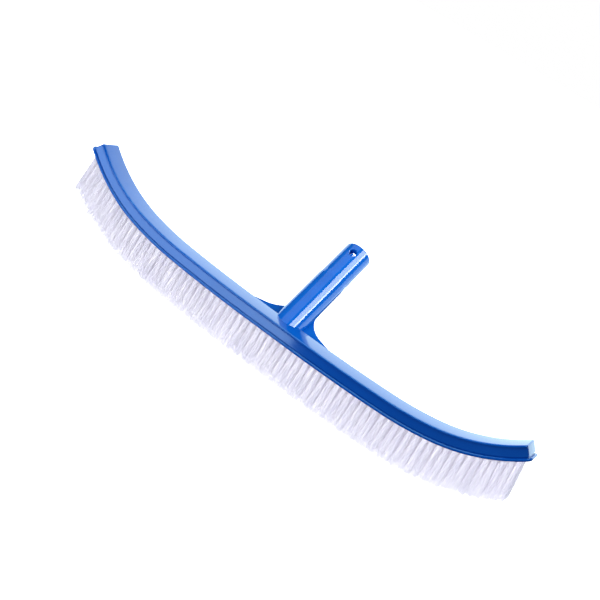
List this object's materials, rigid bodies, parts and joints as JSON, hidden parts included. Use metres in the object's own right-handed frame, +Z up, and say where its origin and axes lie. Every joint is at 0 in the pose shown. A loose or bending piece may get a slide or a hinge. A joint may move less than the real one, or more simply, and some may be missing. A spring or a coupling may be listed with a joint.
{
  "type": "pool wall brush",
  "caption": "Curved pool wall brush head: a rigid blue plastic bar with rows of white nylon tufts, and a tubular handle that slides into a telescopic pole.",
  "frame": {"origin": "tip of the centre tuft of the centre row, on the plane that the brush stands on, under the middle of the bar", "axes": "+X along the bar, +Y to the back, towards which the handle leans, +Z up from the tuft tips to the back of the bar"},
  "size_m": [0.4572, 0.1066, 0.1179],
  "materials": {
    "blue_plastic": "glossy moulded",
    "white_nylon": "fine monofilament",
    "anchor_metal": "drawn flat wire"
  },
  "bodies": {
    "root": {"bar_middle": "blue_plastic", "bar_left_bend": "blue_plastic", "bar_left_end": "blue_plastic", "bar_right_bend": "blue_plastic", "bar_right_end": "blue_plastic", "handle_root": "blue_plastic", "handle_tube": "blue_plastic", "web_left": "blue_plastic", "web_right": "blue_plastic", "tufts_front_left": "white_nylon", "tufts_front_middle": "white_nylon", "tufts_front_right": "white_nylon", "tufts_centre_left": "white_nylon", "tufts_centre_middle": "white_nylon", "tufts_centre_right": "white_nylon", "tufts_rear_left": "white_nylon", "tufts_rear_middle": "white_nylon", "tufts_rear_right": "white_nylon", "anchors_front_left": "anchor_metal", "anchors_front_middle": "anchor_metal", "anchors_front_right": "anchor_metal", "anchors_centre_left": "anchor_metal", "anchors_centre_middle": "anchor_metal", "anchors_centre_right": "anchor_metal", "anchors_rear_left": "anchor_metal", "anchors_rear_middle": "anchor_metal", "anchors_rear_right": "anchor_metal"}
  },
  "joints": []
}
